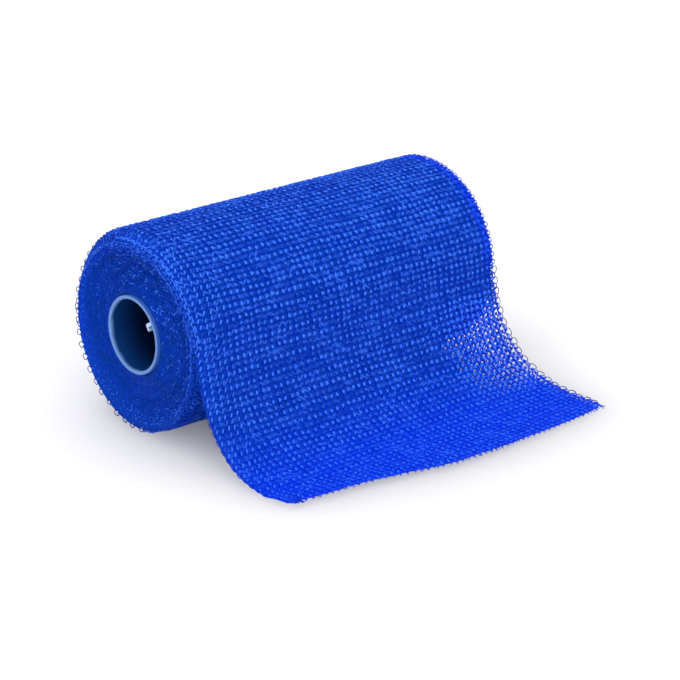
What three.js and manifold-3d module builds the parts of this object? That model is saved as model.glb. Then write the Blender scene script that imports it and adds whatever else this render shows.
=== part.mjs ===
// A roll of knitted casting tape on its plastic core, with the loose end drawn off and laid down.
// Millimetres, +Z up. X runs along the roll's axis, and the loose end lies towards -Y.
// The origin is the middle of the small flat spot on which the roll rests.

import * as THREE from 'three';
import { mergeVertices } from 'three/addons/utils/BufferGeometryUtils.js';
import Module from 'manifold-3d';

const wasm = await Module();
wasm.setup();

// The tape
const TAPE_WIDTH = 125;
const TAPE_THICKNESS = 1.0;
const PIECE_GAP = 0.3;
const HALF_WIDTH = TAPE_WIDTH / 2;

// The wound roll. Angles are in degrees from its top, towards -Y.
const ROLL_RADIUS = 33.0;            // of the outermost turn, where the loose end leaves it
const TURN_STEP = TAPE_THICKNESS + PIECE_GAP;   // how far one pass of the spiral lies below the next
const FLAT_DEPTH = 0.3;              // how far the roll's own weight flattens it underneath
const LEAVE_ANGLE = 84;
const STEP_ANGLE = 0.5;              // the angle that the step under the loose end takes up
const ROLL_STATIONS = 84;
const FACE_STEPS = 16;               // from the core out to the rim, on each end of the roll

// Each shoulder of the roll is rounded over the last depth of its length, and drops by drop there.
// It drops by sway more at angle, and by as much less on the other side of the roll.
const SHOULDERS = {
  near: { depth: 4.6, drop: 2.9, sway: 2.0, angle: -32, steps: 4 },
  far: { depth: 1.8, drop: 0.7, sway: 0, angle: 0, steps: 2 },
};

// Each end of the roll is dished between the core and the rim.
// share: from the bore, 0, to the rim, 1. near, far: depth behind the roll's end plane.
const END_SECTIONS = [
  { share: 0.00, near: 0.8, far: 0.8 },
  { share: 0.20, near: 2.5, far: 1.8 },
  { share: 0.48, near: 3.7, far: 2.2 },
  { share: 0.74, near: 2.9, far: 1.7 },
  { share: 0.92, near: 0.7, far: 0.6 },
  { share: 1.00, near: 0.0, far: 0.0 },
];

// The turns show on both ends as a low spiral ridge, which fades out at the core and the rim.
const RIDGE = { height: 0.45, pitch: 4.2 };

// The core, and the small hooked lug inside its near mouth
const CORE_RADIUS = 12.7;
const CORE_WALL = 1.25;
const CORE_DROP = 0.5;               // how far the core has sunk below the roll's own middle
const CORE_CHAMFER = 0.4;
const CORE_SEGMENTS = 60;
const LUG = { angle: 34, reach: 3.3, width: 1.7, length: 2.6, hook: 0.7, hookWidth: 1.2, bury: 0.6 };

// The loose end's outer face, seen from the side: down the front of the roll, then out flat.
// share: across the tape, from its near edge, 0, to its far edge, 1.
// fall, foot, land: distances past the roll's front of the curve's two handles and of its flat end.
// end: the cut end's distance from the roll's axis. lift: how far the cut end stands off the surface.
const LOOSE_SECTIONS = [
  { share: 0.00, fall: 4.0, foot: 8.6, land: 33.0, end: 74.6, lift: 1.5 },
  { share: 0.25, fall: 4.0, foot: 9.1, land: 34.8, end: 78.2, lift: 1.4 },
  { share: 0.47, fall: 4.1, foot: 9.6, land: 36.6, end: 84.6, lift: 1.2 },
  { share: 0.75, fall: 4.1, foot: 10.0, land: 38.4, end: 84.9, lift: 0.8 },
  { share: 1.00, fall: 4.2, foot: 10.3, land: 40.0, end: 83.6, lift: 0.5 },
];
const FALL_HEIGHT = 15;              // height of the curve's upper handle
const LIFT_LENGTH = 14;              // the stretch over which the cut end rises
const WRAP_STATIONS = 3;
const FALL_STATIONS = 14;
const FLAT_STATIONS = 8;
const LOOSE_COLUMNS = 12;            // between the two shoulders

const { clamp, degToRad, lerp, radToDeg, smoothstep } = THREE.MathUtils;

// Radius of the spiral, from LEAVE_ANGLE back over the top and round to the step under the loose end.
// Most of the step is taken up on the last stretch, which the loose end covers.
function spiralRadius(angle) {
  return ROLL_RADIUS - TURN_STEP * ((LEAVE_ANGLE - angle) / 360) ** 3;
}

const AXIS_HEIGHT = spiralRadius(-180) - FLAT_DEPTH;
const BORE_RADIUS = CORE_RADIUS + PIECE_GAP;

// One column of a table of sections, read on a smooth cubic curve through its rows.
// The curve's slope at a row is that of the straight line between its two neighbours.
function readSections(sections, share, column) {
  const slope = (row) => {
    const before = sections[Math.max(row - 1, 0)];
    const after = sections[Math.min(row + 1, sections.length - 1)];
    return (after[column] - before[column]) / (after.share - before.share);
  };
  let row = 0;
  while (row < sections.length - 2 && share > sections[row + 1].share) row += 1;
  const [a, b] = [sections[row], sections[row + 1]];
  const span = b.share - a.share;
  const t = clamp((share - a.share) / span, 0, 1);
  const along = lerp(a[column], b[column], t * t * (3 - 2 * t));
  return along + span * t * (1 - t) * ((1 - t) * slope(row) - t * slope(row + 1));
}

// Depth of an end face behind the roll's end plane
function endDepth(share, radius, angle, side) {
  const fade = Math.sin(Math.PI * share);
  const wave = Math.cos((2 * Math.PI * radius) / RIDGE.pitch - degToRad(angle));
  return readSections(END_SECTIONS, share, side) + RIDGE.height * fade * wave;
}

// How far a shoulder lies below the roll's full radius, at a distance in from its end
function shoulderDrop(side, distance, angle) {
  const shoulder = SHOULDERS[side];
  const drop = shoulder.drop + shoulder.sway * Math.cos(degToRad(angle - shoulder.angle));
  return drop * (1 - clamp(distance / shoulder.depth, 0, 1)) ** 2;
}

// A closed body skinned over rings of points. The rings close on each other, or end in two caps,
// which join each ring point to the one that lies opposite it in the ring's other half.
function skinBody(rings, capped) {
  const size = rings[0].length;
  const positions = rings.flat().flatMap((p) => [p.x, p.y, p.z]);
  const index = [];
  const quad = (a, b, c, d) => index.push(a, b, c, a, c, d);
  const spans = capped ? rings.length - 1 : rings.length;
  for (let i = 0; i < spans; i += 1) {
    const next = (i + 1) % rings.length;
    for (let j = 0; j < size; j += 1) {
      const k = (j + 1) % size;
      quad(i * size + j, i * size + k, next * size + k, next * size + j);
    }
  }
  if (capped) {
    const last = (rings.length - 1) * size;
    for (let j = 0; j < size / 2 - 1; j += 1) {
      const [a, b, c, d] = [j, j + 1, size - 2 - j, size - 1 - j];
      quad(d, c, b, a);
      quad(last + a, last + b, last + c, last + d);
    }
  }
  const geometry = new THREE.BufferGeometry();
  geometry.setAttribute('position', new THREE.Float32BufferAttribute(positions, 3));
  geometry.setIndex(index);
  return geometry;
}

// The roll's half section on one side at one angle, from the bore out to its full radius.
// On the end face the spiral's step is kept to the outermost turns, by the fourth power of the share.
// The middle of the turns moves down towards the core as they near it.
function rollHalfSection(angle, side) {
  const { depth, steps } = SHOULDERS[side];
  const outer = spiralRadius(angle);
  const step = ROLL_RADIUS - outer;
  const rim = ROLL_RADIUS - shoulderDrop(side, 0, angle);
  const sign = side === 'near' ? -1 : 1;
  const a = degToRad(angle);
  const point = (radius, inset, share) => new THREE.Vector3(
    sign * (HALF_WIDTH - inset),
    -radius * Math.sin(a),
    Math.max(AXIS_HEIGHT - CORE_DROP * (1 - share) + radius * Math.cos(a), 0),
  );
  const section = [];
  for (let i = 0; i < FACE_STEPS; i += 1) {
    const share = i / FACE_STEPS;
    const radius = lerp(BORE_RADIUS, rim, share) - step * share ** 4;
    section.push(point(radius, endDepth(share, radius, angle, side), share));
  }
  for (let i = 0; i <= steps; i += 1) {
    const inset = (depth * i) / steps;
    section.push(point(outer - shoulderDrop(side, inset, angle), inset, 1));
  }
  return section;
}

function woundRoll() {
  const sweep = 360 - STEP_ANGLE;
  const rings = [];
  for (let i = 0; i < ROLL_STATIONS; i += 1) {
    const angle = LEAVE_ANGLE - (sweep * i) / (ROLL_STATIONS - 1);
    rings.push([...rollHalfSection(angle, 'near'), ...rollHalfSection(angle, 'far').reverse()]);
  }
  return skinBody(rings, false);
}

// The loose end's outer face: a point in the roll's side view, and the way out of the face there.
// Its stations run with the roll, then down a cubic curve, then flat, then up to the cut end.
function loosePoint(station, x) {
  const share = (x + HALF_WIDTH) / TAPE_WIDTH;
  const row = (column) => readSections(LOOSE_SECTIONS, share, column);
  const tuck = shoulderDrop('near', HALF_WIDTH + x, LEAVE_ANGLE)
    + shoulderDrop('far', HALF_WIDTH - x, LEAVE_ANGLE);
  if (station < WRAP_STATIONS) {
    const start = LEAVE_ANGLE + STEP_ANGLE + radToDeg(PIECE_GAP / ROLL_RADIUS);
    const angle = degToRad(lerp(start, 90, station / WRAP_STATIONS));
    const out = new THREE.Vector2(-Math.sin(angle), Math.cos(angle));
    const point = new THREE.Vector2(0, AXIS_HEIGHT).addScaledVector(out, ROLL_RADIUS - tuck);
    return { point, out };
  }
  const fallStation = station - WRAP_STATIONS;
  if (fallStation < FALL_STATIONS) {
    const t = fallStation / FALL_STATIONS;
    const curve = new THREE.CubicBezierCurve(
      new THREE.Vector2(-ROLL_RADIUS, AXIS_HEIGHT),
      new THREE.Vector2(-ROLL_RADIUS - row('fall'), FALL_HEIGHT),
      new THREE.Vector2(-ROLL_RADIUS - row('foot'), TAPE_THICKNESS),
      new THREE.Vector2(-ROLL_RADIUS - row('land'), TAPE_THICKNESS),
    );
    const tangent = curve.getTangent(t);
    const out = new THREE.Vector2(tangent.y, -tangent.x);
    return { point: curve.getPoint(t).addScaledVector(out, -tuck * (1 - t) ** 2), out };
  }
  const flat = (fallStation - FALL_STATIONS) / FLAT_STATIONS;
  const y = -lerp(ROLL_RADIUS + row('land'), row('end'), flat);
  const rise = smoothstep(LIFT_LENGTH - (y + row('end')), 0, LIFT_LENGTH);
  return {
    point: new THREE.Vector2(y, TAPE_THICKNESS + row('lift') * rise),
    out: new THREE.Vector2(0, 1),
  };
}

// Where the loose end's columns of points lie across the tape: closer together on the shoulders
function looseColumns() {
  const { near, far } = SHOULDERS;
  const columns = [];
  for (let i = 0; i < near.steps; i += 1) columns.push(-HALF_WIDTH + (near.depth * i) / near.steps);
  for (let i = 0; i <= LOOSE_COLUMNS; i += 1) {
    columns.push(lerp(-HALF_WIDTH + near.depth, HALF_WIDTH - far.depth, i / LOOSE_COLUMNS));
  }
  for (let i = 1; i <= far.steps; i += 1) {
    columns.push(HALF_WIDTH - far.depth + (far.depth * i) / far.steps);
  }
  return columns;
}

function looseEnd() {
  const stations = WRAP_STATIONS + FALL_STATIONS + FLAT_STATIONS;
  const rings = looseColumns().map((x) => {
    const outer = [];
    const inner = [];
    for (let i = 0; i <= stations; i += 1) {
      const { point, out } = loosePoint(i, x);
      const under = point.clone().addScaledVector(out, -TAPE_THICKNESS);
      outer.push(new THREE.Vector3(x, point.x, point.y));
      inner.push(new THREE.Vector3(x, under.x, Math.max(under.y, 0)));
    }
    return [...outer, ...inner.reverse()];
  });
  return skinBody(rings, true);
}

function toSolid(geometry) {
  const bare = geometry.clone();
  bare.deleteAttribute('normal');
  bare.deleteAttribute('uv');
  const merged = mergeVertices(bare);
  return new wasm.Manifold(new wasm.Mesh({
    numProp: 3,
    vertProperties: merged.attributes.position.array,
    triVerts: new Uint32Array(merged.index.array),
  }));
}

function toGeometry(solid) {
  const mesh = solid.getMesh();
  const geometry = new THREE.BufferGeometry();
  geometry.setAttribute('position', new THREE.BufferAttribute(mesh.vertProperties, 3));
  geometry.setIndex(new THREE.BufferAttribute(mesh.triVerts, 1));
  return geometry;
}

// A tube as long as the tape is wide, drawn about Y and laid along X
function coreTube() {
  const inner = CORE_RADIUS - CORE_WALL;
  const c = CORE_CHAMFER;
  const outline = [
    [inner + c, -HALF_WIDTH],
    [CORE_RADIUS - c, -HALF_WIDTH],
    [CORE_RADIUS, -HALF_WIDTH + c],
    [CORE_RADIUS, HALF_WIDTH - c],
    [CORE_RADIUS - c, HALF_WIDTH],
    [inner + c, HALF_WIDTH],
    [inner, HALF_WIDTH - c],
    [inner, -HALF_WIDTH + c],
    [inner + c, -HALF_WIDTH],
  ];
  const tube = new THREE.LatheGeometry(outline.map(([r, y]) => new THREE.Vector2(r, y)), CORE_SEGMENTS);
  return tube.rotateZ(-Math.PI / 2);
}

// The lug stands in from the core's wall, and its hook points down. It is drawn about the core's axis.
function coreLug() {
  const inner = CORE_RADIUS - CORE_WALL;
  const root = inner + LUG.bury;
  const tip = inner - LUG.reach;
  const half = LUG.width / 2;
  const section = [
    [-root, half],
    [-root, -half],
    [-tip - LUG.hookWidth, -half],
    [-tip - LUG.hookWidth, -half - LUG.hook],
    [-tip, -half - LUG.hook],
    [-tip, half],
  ];
  const shape = new THREE.Shape(section.map(([y, z]) => new THREE.Vector2(y, z)));
  const lug = new THREE.ExtrudeGeometry(shape, { depth: LUG.length, bevelEnabled: false });
  const alongX = new THREE.Matrix4().makeBasis(
    new THREE.Vector3(0, 1, 0),
    new THREE.Vector3(0, 0, 1),
    new THREE.Vector3(1, 0, 0),
  );
  lug.applyMatrix4(alongX);
  lug.rotateX(-degToRad(LUG.angle));
  return lug.translate(-HALF_WIDTH + CORE_CHAMFER, 0, 0);
}

function core() {
  return toGeometry(toSolid(coreTube()).add(toSolid(coreLug())));
}

function piece(name, geometry, material) {
  geometry.computeVertexNormals();
  const mesh = new THREE.Mesh(geometry, new THREE.MeshStandardMaterial(material));
  mesh.name = name;
  return mesh;
}

const group = new THREE.Group();
group.add(piece('tape_roll', woundRoll(), { color: 0x0b3fc8, roughness: 0.6, metalness: 0 }));
group.add(piece('loose_end', looseEnd(), { color: 0x1246e6, roughness: 0.6, metalness: 0 }));

const coreMesh = piece('core', core(), { color: 0xc3d3ea, roughness: 0.4, metalness: 0 });
coreMesh.position.z = AXIS_HEIGHT - CORE_DROP;
group.add(coreMesh);

export default group;
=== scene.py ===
"""A roll of knitted casting tape on its plastic core, with the loose end drawn off and laid down.

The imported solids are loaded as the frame. The tape's knit, the edges of its turns and the core's
finish are built over them in numpy. Shapes are worked out in millimetres and put into the meshes in
metres. X runs along the roll's axis, the loose end lies towards -Y, and Z is up.
"""

import math

import bpy
import numpy as np
from mathutils import Matrix, Vector


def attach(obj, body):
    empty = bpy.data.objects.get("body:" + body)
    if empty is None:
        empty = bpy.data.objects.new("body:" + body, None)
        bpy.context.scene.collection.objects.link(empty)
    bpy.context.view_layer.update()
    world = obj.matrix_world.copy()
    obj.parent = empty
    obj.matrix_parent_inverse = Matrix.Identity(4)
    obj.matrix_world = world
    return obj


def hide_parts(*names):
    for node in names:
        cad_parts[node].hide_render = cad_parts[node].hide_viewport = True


bl_info = {
    "name": "Casting Tape Roll",
    "version": (1, 0, 0),
    "blender": (4, 5, 0),
    "location": "3D View > Sidebar > Casting Tape",
    "description": "Builds the knit, the wound turns and the core of a casting tape roll",
    "category": "Add Mesh",
}

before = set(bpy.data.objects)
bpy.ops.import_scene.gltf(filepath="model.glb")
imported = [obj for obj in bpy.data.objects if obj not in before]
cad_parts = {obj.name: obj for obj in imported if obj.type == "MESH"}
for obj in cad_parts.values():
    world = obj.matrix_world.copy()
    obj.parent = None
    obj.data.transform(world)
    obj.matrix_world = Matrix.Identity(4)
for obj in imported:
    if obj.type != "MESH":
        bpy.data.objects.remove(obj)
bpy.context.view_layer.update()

MM = 0.001

# The tape and the wound roll, as in the part's source. Angles are in degrees from the top, towards -Y.
TAPE_WIDTH = 125.0
HALF_WIDTH = TAPE_WIDTH / 2
TAPE_THICKNESS = 1.0
ROLL_RADIUS = 33.0
TURN_STEP = 1.3
FLAT_DEPTH = 0.3
LEAVE_ANGLE = 84.0
BORE_RADIUS = 13.0
CORE_DROP = 0.5            # how far the core has sunk below the middle of the roll
SHOULDERS = {
    "near": {"depth": 4.6, "drop": 2.9, "sway": 2.0, "angle": -32.0},
    "far": {"depth": 1.8, "drop": 0.7, "sway": 0.0, "angle": 0.0},
}

# Depth of the dished ends behind the roll's end planes, from the bore, 0, to the rim, 1
END_SHARES = (0.0, 0.20, 0.48, 0.74, 0.92, 1.0)
END_DEPTHS = {"near": (0.8, 2.5, 3.7, 2.9, 0.7, 0.0), "far": (0.8, 1.8, 2.2, 1.7, 0.6, 0.0)}
RIDGE_HEIGHT = 0.45
RIDGE_PITCH = 4.2
GROOVE_DEPTH = 0.16        # of the groove between each turn and the next
GROOVE_PITCH = 0.83
END_SETBACK = 0.25         # of the wound turns' ends behind the solid's
EDGE_LOOPS = {"start": 0.9, "pitch": 0.80, "spacing": 1.9, "length": 1.05}
EDGE_RIM = (24.5, 28.5)    # the radii between which the edge loops turn lighter
GROUND_DEPTH = 0.84        # from the tape's outer face down to the turn below it
# The ends' loops carry a painted highlight on this side, from which the light comes
HIGHLIGHT_ANGLE = 45.0     # the side on which the ends' loops stand up and are lightest

# The core and its lug
CORE_RADIUS = 12.7
CORE_WALL = 1.25
LIP_ROUND = 0.45
LUG = {"angle": 34.0, "reach": 3.3, "width": 1.15, "length": 2.6, "hook": 1.25, "hook_width": 1.0}
LUG_TOP = 0.85             # its upper side over the middle of the section
LUG_ROOT = 0.6             # how far it runs into the wall
LUG_CORNER = 0.28
LUG_INSET = 0.4            # from the core's mouth

# The loose end's outer face, across the tape from its near edge, 0, to its far edge, 1
LOOSE_SHARES = (0.0, 0.25, 0.47, 0.75, 1.0)
LOOSE_FALL = (4.0, 4.0, 4.1, 4.1, 4.2)
LOOSE_FOOT = (8.6, 9.1, 9.6, 10.0, 10.3)
LOOSE_LAND = (33.0, 34.8, 36.6, 38.4, 40.0)
LOOSE_END = (74.6, 78.2, 84.6, 84.9, 83.6)
LOOSE_LIFT = (1.5, 1.4, 1.2, 0.8, 0.5)
FALL_HEIGHT = 15.0
LIFT_LENGTH = 14.0

# The knit. Course numbers are 0 where the loose end leaves the roll, and below 0 on the roll.
WALES = 53                 # columns of chain stitches across the tape
COURSE = 2.0               # distance from one stitch to the next along the tape
ROLL_COURSES = 104         # in the outer turn
PIECE_BOUNDS = (0, 18, 36, WALES)      # the wales at which the outer turn is parted into pieces
SEED = 7
NOISE_TABLE = (600, 60)    # courses and wales after which a stitch's noise repeats

# Heights of the knit's layers over the tape's outer face
CHAIN_LEVEL = -0.80
LAID_LEVELS = (-0.72, -0.80)
GROUND_LEVELS = (-0.80, -0.94)
BACK_LEVEL = -0.93
LOOP_LEVEL = -0.45
CUT_LEVEL = -0.62

# Yarns: the corners of their section, and its height as a share of its width
YARN_SIDES = 4
FLATTEN = {"chain": 0.9, "laid": 0.38, "back": 0.5, "loop": 1.0, "cut": 0.8}

# Stretches of wales or courses over which the knit changes, from where it starts to where it is done
# Over these courses the loose end takes on the painted glow, light that the pale surface sends back through
# it
PAINTED_GLOW_COURSES = (10, 28)                          # the loose end comes down to lie flat
NEAR_FRONT = {"wales": (6.5, 3.0), "courses": (-26, -12)}
NEAR_SHOULDER = {"wales": (11, 3), "courses": (-18, -28)}
ROLL_TOP = (-16, -28)
ROLL_UNDERSIDE = (-76, -82)
FAR_STRIP = {"wales": (50.5, 51.5), "courses": (1, -2)}
STRETCH = {"wales": (38, 49), "courses": (3, 9), "courses back": (25, 19)}
LAST_COURSES = (-8, 0)                         # counted from the cut

# A chain stitch: its half width in wales and half length in courses. Its legs' rise in millimetres is a
# base and what a proud bead adds, and its yarn's swell is that of the whole ring, what the legs add and
# what a proud bead adds there. A bead's share of proud is a base and what a slow wave adds.
RING_HALF_WIDTH = 0.095
RING_HALF_LENGTH = 0.46
LEG_RISE = (0.18, 0.32)
YARN_SWELL = (0.50, 0.20, 0.38)
EVEN_BEAD = (0.59, 0.24)
ODD_BEAD = (0.22, 0.26)
LAID_SLANT = 0.78          # of a laid-in yarn, in courses from one chain to the next

# Rows of loops: side, first and last course, pitch, start, half length, reach, flare and tone. Lengths
# along the tape are in courses, start is in wales, and reach and flare are shares of what the settings
# give. The loose end's rows run as far as the cut.
ROLL_LOOPS = (
    ("near", -104.0, -79.0, 1.6, 0.15, 0.52, 0.60, 0.16, 0.30),
    ("near", -78.4, -48.0, 2.3, 0.15, 0.58, 0.66, 0.80, -0.35),
    ("near", -48.0, 0.0, 1.6, 0.15, 0.52, 0.60, 0.16, 0.55),
    ("near", -54.0, -30.0, 2.1, 0.60, 0.54, 0.74, 0.90, -0.35),
    ("near", -29.2, 0.0, 1.6, 0.80, 0.50, 0.36, 0.00, 0.90),
    ("far", -104.0, 0.0, 1.3, 0.35, 0.38, 0.37, 0.20, -0.20),
)
LOOSE_LOOPS = (
    ("near", 0.0, 50.0, 1.5, 0.12, 0.46, 0.36, 0.11, 0.05),
    ("far", 0.0, 50.0, 1.8, 0.32, 0.62, 0.90, 0.05, -0.40),
    ("far", 0.9, 50.0, 1.8, 0.62, 0.52, 0.70, 0.11, -0.05),
)


def ramp(value, start, done):
    """0 up to start, 1 from done on, and 3t^2 - 2t^3 between. Done may be the lower of the two."""
    t = np.clip((value - start) / (done - start), 0.0, 1.0)
    return t * t * (3 - 2 * t)


def unit(vectors):
    """Vectors over their own lengths."""
    return vectors / np.maximum(np.linalg.norm(vectors, axis=-1, keepdims=True), 1e-12)


def smooth_table(at, places, values):
    """A cubic Hermite curve through a table, whose slope at a row is that between its two neighbours."""
    places, values = np.array(places, float), np.array(values, float)
    rows = np.arange(len(places))
    before, after = np.maximum(rows - 1, 0), np.minimum(rows + 1, rows[-1])
    slopes = (values[after] - values[before]) / (places[after] - places[before])
    row = np.clip(np.searchsorted(places, at, side="right") - 1, 0, len(places) - 2)
    span = places[row + 1] - places[row]
    t = np.clip((at - places[row]) / span, 0.0, 1.0)
    a = (1 + 2 * t) * (1 - t) ** 2 * values[row] + t * (1 - t) ** 2 * span * slopes[row]
    b = t * t * (3 - 2 * t) * values[row + 1] - t * t * (1 - t) * span * slopes[row + 1]
    return a + b


def spiral_radius(angle):
    """The outer turn's radius: full where the loose end leaves, and less by the cube of the way back."""
    return ROLL_RADIUS - TURN_STEP * ((LEAVE_ANGLE - angle) / 360) ** 3


AXIS_HEIGHT = float(spiral_radius(-180.0)) - FLAT_DEPTH
CORE_HEIGHT = AXIS_HEIGHT - CORE_DROP


def shoulder_drop(side, distance, angle):
    """How far a shoulder lies below the full radius: a parabola over its depth, swaying with the angle."""
    s = SHOULDERS[side]
    drop = s["drop"] + s["sway"] * np.cos(np.radians(angle - s["angle"]))
    return drop * (1 - np.clip(distance / s["depth"], 0.0, 1.0)) ** 2


def both_drops(x, angle):
    """The drops of both shoulders together at a place x along the roll."""
    return shoulder_drop("near", HALF_WIDTH + x, angle) + shoulder_drop("far", HALF_WIDTH - x, angle)


def roll_point(x, radius, angle, sunk=0.0):
    """A point at an angle from the top and a radius from the axis, which may be sunk below the roll's own,
    kept on or over the surface below."""
    a = np.radians(angle)
    z = np.maximum(AXIS_HEIGHT - sunk + radius * np.cos(a), 0.0)
    return np.stack(np.broadcast_arrays(x, -radius * np.sin(a), z), -1)


def read_rows(points, lengths, wanted):
    """Each row of points read at wanted lengths along it, in straight lines, and run on past its ends."""
    wanted = np.broadcast_to(wanted, (len(points), np.shape(wanted)[-1]))
    after = (lengths[:, None, :] <= wanted[:, :, None]).sum(-1).clip(1, lengths.shape[1] - 1)
    rows = np.arange(len(points))[:, None]
    a, b = lengths[rows, after - 1], lengths[rows, after]
    t = ((wanted - a) / (b - a))[..., None]
    return points[rows, after - 1] * (1 - t) + points[rows, after] * t


def run_lengths(points):
    """Length along each row of points, from its first."""
    steps = np.linalg.norm(np.diff(points, axis=1), axis=-1)
    return np.concatenate([np.zeros((len(points), 1)), np.cumsum(steps, axis=1)], axis=1)


def loose_columns(x):
    """The loose end's outer face in columns across the tape: an arc on with the roll to its front, a cubic
    curve down to the surface, set in by the shoulders' drop times (1 - t)^2, and then flat out to the cut
    end, which lifts by a smooth step over its last stretch."""
    share = (x + HALF_WIDTH) / TAPE_WIDTH
    fall, foot, land, end, lift = (
        smooth_table(share, LOOSE_SHARES, values)[:, None]
        for values in (LOOSE_FALL, LOOSE_FOOT, LOOSE_LAND, LOOSE_END, LOOSE_LIFT)
    )
    tuck = both_drops(x, LEAVE_ANGLE)[:, None]

    angle = np.linspace(LEAVE_ANGLE, 90.0, 5)[None, :-1]
    wrap = roll_point(x[:, None], ROLL_RADIUS - tuck, angle)

    t = np.linspace(0.0, 1.0, 64)[None, :-1]
    y0, y1, y2, y3 = -ROLL_RADIUS, -ROLL_RADIUS - fall, -ROLL_RADIUS - foot, -ROLL_RADIUS - land
    z0, z1, z2, z3 = AXIS_HEIGHT, FALL_HEIGHT, TAPE_THICKNESS, TAPE_THICKNESS
    y = (1 - t) ** 3 * y0 + 3 * (1 - t) ** 2 * t * y1 + 3 * (1 - t) * t * t * y2 + t**3 * y3
    z = (1 - t) ** 3 * z0 + 3 * (1 - t) ** 2 * t * z1 + 3 * (1 - t) * t * t * z2 + t**3 * z3
    dy = (1 - t) ** 2 * (y1 - y0) + 2 * (1 - t) * t * (y2 - y1) + t * t * (y3 - y2)
    dz = (1 - t) ** 2 * (z1 - z0) + 2 * (1 - t) * t * (z2 - z1) + t * t * (z3 - z2)
    out = unit(np.stack(np.broadcast_arrays(dz, -dy), -1))
    set_in = tuck * (1 - t) ** 2
    y, z = y - out[..., 0] * set_in, z - out[..., 1] * set_in
    curve = np.stack([np.broadcast_to(x[:, None], y.shape), y, z], -1)

    s = np.linspace(0.0, 1.0, 28)[None, :]
    y = -(ROLL_RADIUS + land) * (1 - s) - end * s
    z = TAPE_THICKNESS + lift * ramp(y + end, LIFT_LENGTH, 0.0)
    flat = np.stack([np.broadcast_to(x[:, None], y.shape), y, z], -1)
    return np.concatenate([wrap, curve, flat], axis=1)


class TapeFace:
    """The outer face of the tape's last turn and loose end, as a table over the share across the tape and
    the distance along it, which is 0 where the loose end leaves the roll and below 0 on the roll."""

    STEP = 0.5
    ACROSS = 180
    SPARE_BEFORE = 4.0
    SPARE_AFTER = 8.0

    def __init__(self):
        edge = np.linspace(0.0, SHOULDERS["near"]["depth"], 15)
        far_edge = np.linspace(0.0, SHOULDERS["far"]["depth"], 8)
        middle = np.linspace(edge[-1], TAPE_WIDTH - far_edge[-1], 61)[1:-1]
        x = np.concatenate([edge, middle, TAPE_WIDTH - far_edge[::-1]]) - HALF_WIDTH

        loose = loose_columns(x)
        lengths = run_lengths(loose)
        self.longest = float(lengths[:, -1].max())
        self.lengths = np.interp(np.linspace(-HALF_WIDTH, HALF_WIDTH, self.ACROSS + 1), x, lengths[:, -1])
        after = np.arange(0.0, self.longest + self.SPARE_AFTER, self.STEP)
        loose = read_rows(loose, lengths, after).transpose(1, 0, 2)

        self.start = -ROLL_COURSES * COURSE - self.SPARE_BEFORE
        before = np.arange(self.start, -1e-9, self.STEP)
        angle = (LEAVE_ANGLE + np.degrees(before / ROLL_RADIUS))[:, None]
        roll = roll_point(x[None, :], spiral_radius(angle) - both_drops(x[None, :], angle), angle)

        rows = np.concatenate([roll, loose], axis=0)
        across = run_lengths(rows)
        share = np.linspace(0.0, 1.0, self.ACROSS + 1)
        self.points = read_rows(rows, across, across[:, -1:] * share)
        along_tape = np.gradient(self.points, axis=0)
        across_tape = np.gradient(self.points, axis=1)
        self.normals = unit(np.cross(along_tape, across_tape))

    def read(self, share, along):
        """Point and outward normal at a share across and a distance along, between the table's own."""
        column = np.clip(share, 0.0, 1.0) * self.ACROSS
        row = np.clip((along - self.start) / self.STEP, 0.0, len(self.points) - 1.001)
        i, j = row.astype(int), np.minimum(column.astype(int), self.ACROSS - 1)
        s, t = (row - i)[..., None], (column - j)[..., None]
        found = []
        for table in (self.points, self.normals):
            a = table[i, j] * (1 - t) + table[i, j + 1] * t
            b = table[i + 1, j] * (1 - t) + table[i + 1, j + 1] * t
            found.append(a * (1 - s) + b * s)
        return found[0], unit(found[1])

    def length_at(self, share):
        """How long the loose end is at a share across the tape."""
        return np.interp(share, np.linspace(0.0, 1.0, self.ACROSS + 1), self.lengths)


def waver(wale, course, amount):
    """Slow sideways and lengthways drift of the knit, as sums of sines over wale and course numbers."""
    across = np.sin(0.31 * wale + 0.17 * course) + 0.7 * np.sin(0.83 * wale - 0.41 * course + 1.3)
    along = np.sin(0.23 * wale - 0.29 * course + 2.1) + 0.7 * np.sin(0.57 * wale + 0.73 * course)
    return amount * across, amount * along


def knit_point(face, wale, course, height, drift):
    """A point of the knit: wale and course numbers become a place on the tape's face, and height is
    measured along the face's normal from its outer surface."""
    across, along = waver(wale, course, drift)
    point, normal = face.read((wale + across) / WALES, (course + along) * COURSE)
    return point + normal * height[..., None], normal


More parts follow.
